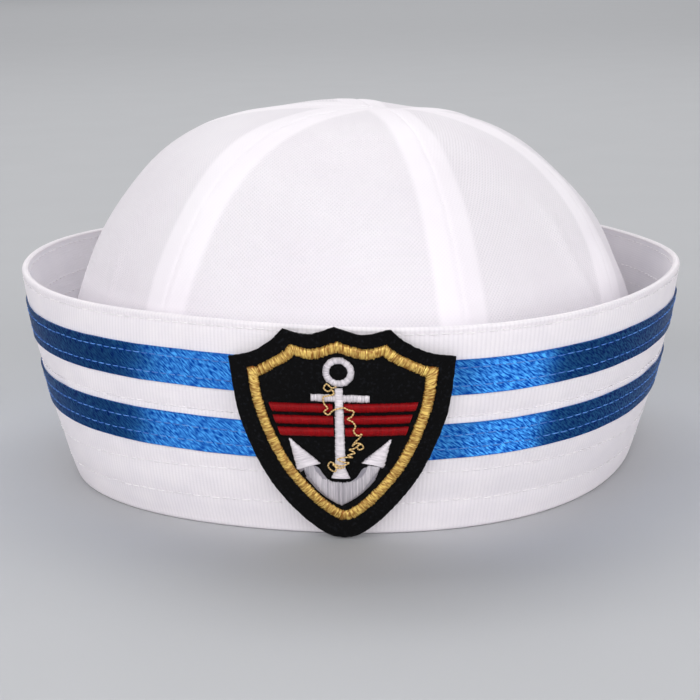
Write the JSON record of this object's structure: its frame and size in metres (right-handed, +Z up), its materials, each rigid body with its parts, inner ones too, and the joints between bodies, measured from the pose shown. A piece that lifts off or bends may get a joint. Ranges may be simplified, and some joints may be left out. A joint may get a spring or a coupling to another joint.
{
  "type": "sailor cap",
  "caption": "White cloth sailor cap: a rounded gored crown in a tall turned-up brim with blue satin ribbons and an embroidered anchor shield.",
  "frame": {"origin": "on the surface that the cap stands on, under the middle of its bounding box", "axes": "+Z up out of the crown, -Y out of the front where the patch is, +X to the right as seen from the front"},
  "size_m": [0.2152, 0.2186, 0.1134],
  "materials": {
    "crown_cloth": "white polyester twill with a slight sheen",
    "allowance_cloth": "the crown's twill, doubled and pressed open",
    "brim_cloth": "white ribbed cloth, stiffened",
    "ribbon_satin": "royal blue satin ribbon, glossy along its weave",
    "patch_felt": "black felt",
    "gold_thread": "shiny gold satin stitch",
    "red_thread": "red satin stitch",
    "white_thread": "white satin stitch"
  },
  "bodies": {
    "root": {"brim": "brim_cloth", "ribbon_upper": "ribbon_satin", "ribbon_lower": "ribbon_satin", "crown_gore_1": "crown_cloth", "crown_gore_2": "crown_cloth", "crown_gore_3": "crown_cloth", "crown_gore_4": "crown_cloth", "crown_gore_5": "crown_cloth", "crown_gore_6": "crown_cloth", "seam_allowance_1": "allowance_cloth", "seam_allowance_2": "allowance_cloth", "seam_allowance_3": "allowance_cloth", "seam_allowance_4": "allowance_cloth", "seam_allowance_5": "allowance_cloth", "seam_allowance_6": "allowance_cloth", "patch_felt": "patch_felt", "patch_border": "gold_thread", "red_bar_left_1": "red_thread", "red_bar_left_2": "red_thread", "red_bar_left_3": "red_thread", "red_bar_right_1": "red_thread", "red_bar_right_2": "red_thread", "red_bar_right_3": "red_thread", "anchor_ring": "white_thread", "anchor_shank": "white_thread", "anchor_stock_left": "white_thread", "anchor_stock_right": "white_thread", "anchor_arms": "white_thread", "anchor_fluke_left": "white_thread", "anchor_fluke_right": "white_thread"}
  },
  "joints": []
}
